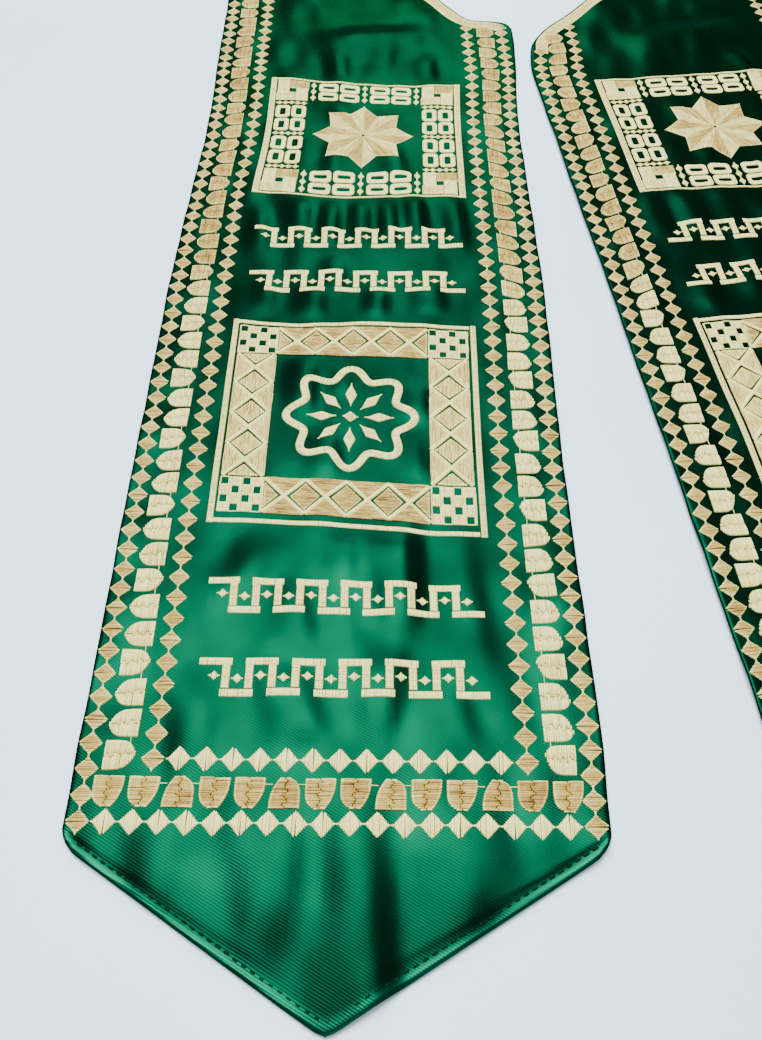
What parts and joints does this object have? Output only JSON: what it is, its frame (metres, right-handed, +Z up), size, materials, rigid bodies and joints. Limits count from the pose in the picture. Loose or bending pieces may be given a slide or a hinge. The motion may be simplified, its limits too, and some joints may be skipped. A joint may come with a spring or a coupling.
{
  "type": "national day sash",
  "caption": "Satin sash with a V neck and two pointed front panels, laid flat, with stitched border rows, square frames and bands.",
  "frame": {"origin": "middle of the sash's outline, on the surface that it lies on", "axes": "+Y from the pointed ends to the back of the neck, +Z up out of the surface, +X to the right seen from above"},
  "size_m": [0.353, 0.6984, 0.0044],
  "materials": {
    "green_satin": "soft sheen satin twill",
    "gold_thread": "satin stitch in pale gold rayon thread"
  },
  "bodies": {
    "root": {"left_cloth_half": "green_satin", "left_neck_trim": "gold_thread", "left_edge_diamond_row": "gold_thread", "left_tab_row": "gold_thread", "left_field_diamond_row": "gold_thread", "left_upper_frame": "gold_thread", "left_lower_frame": "gold_thread", "left_star": "gold_thread", "left_rosette": "gold_thread", "left_upper_meander_1": "gold_thread", "left_upper_meander_2": "gold_thread", "left_lower_meander_1": "gold_thread", "left_lower_meander_2": "gold_thread", "right_cloth_half": "green_satin", "right_neck_trim": "gold_thread", "right_edge_diamond_row": "gold_thread", "right_tab_row": "gold_thread", "right_field_diamond_row": "gold_thread", "right_upper_frame": "gold_thread", "right_lower_frame": "gold_thread", "right_star": "gold_thread", "right_rosette": "gold_thread", "right_upper_meander_1": "gold_thread", "right_upper_meander_2": "gold_thread", "right_lower_meander_1": "gold_thread", "right_lower_meander_2": "gold_thread"}
  },
  "joints": []
}
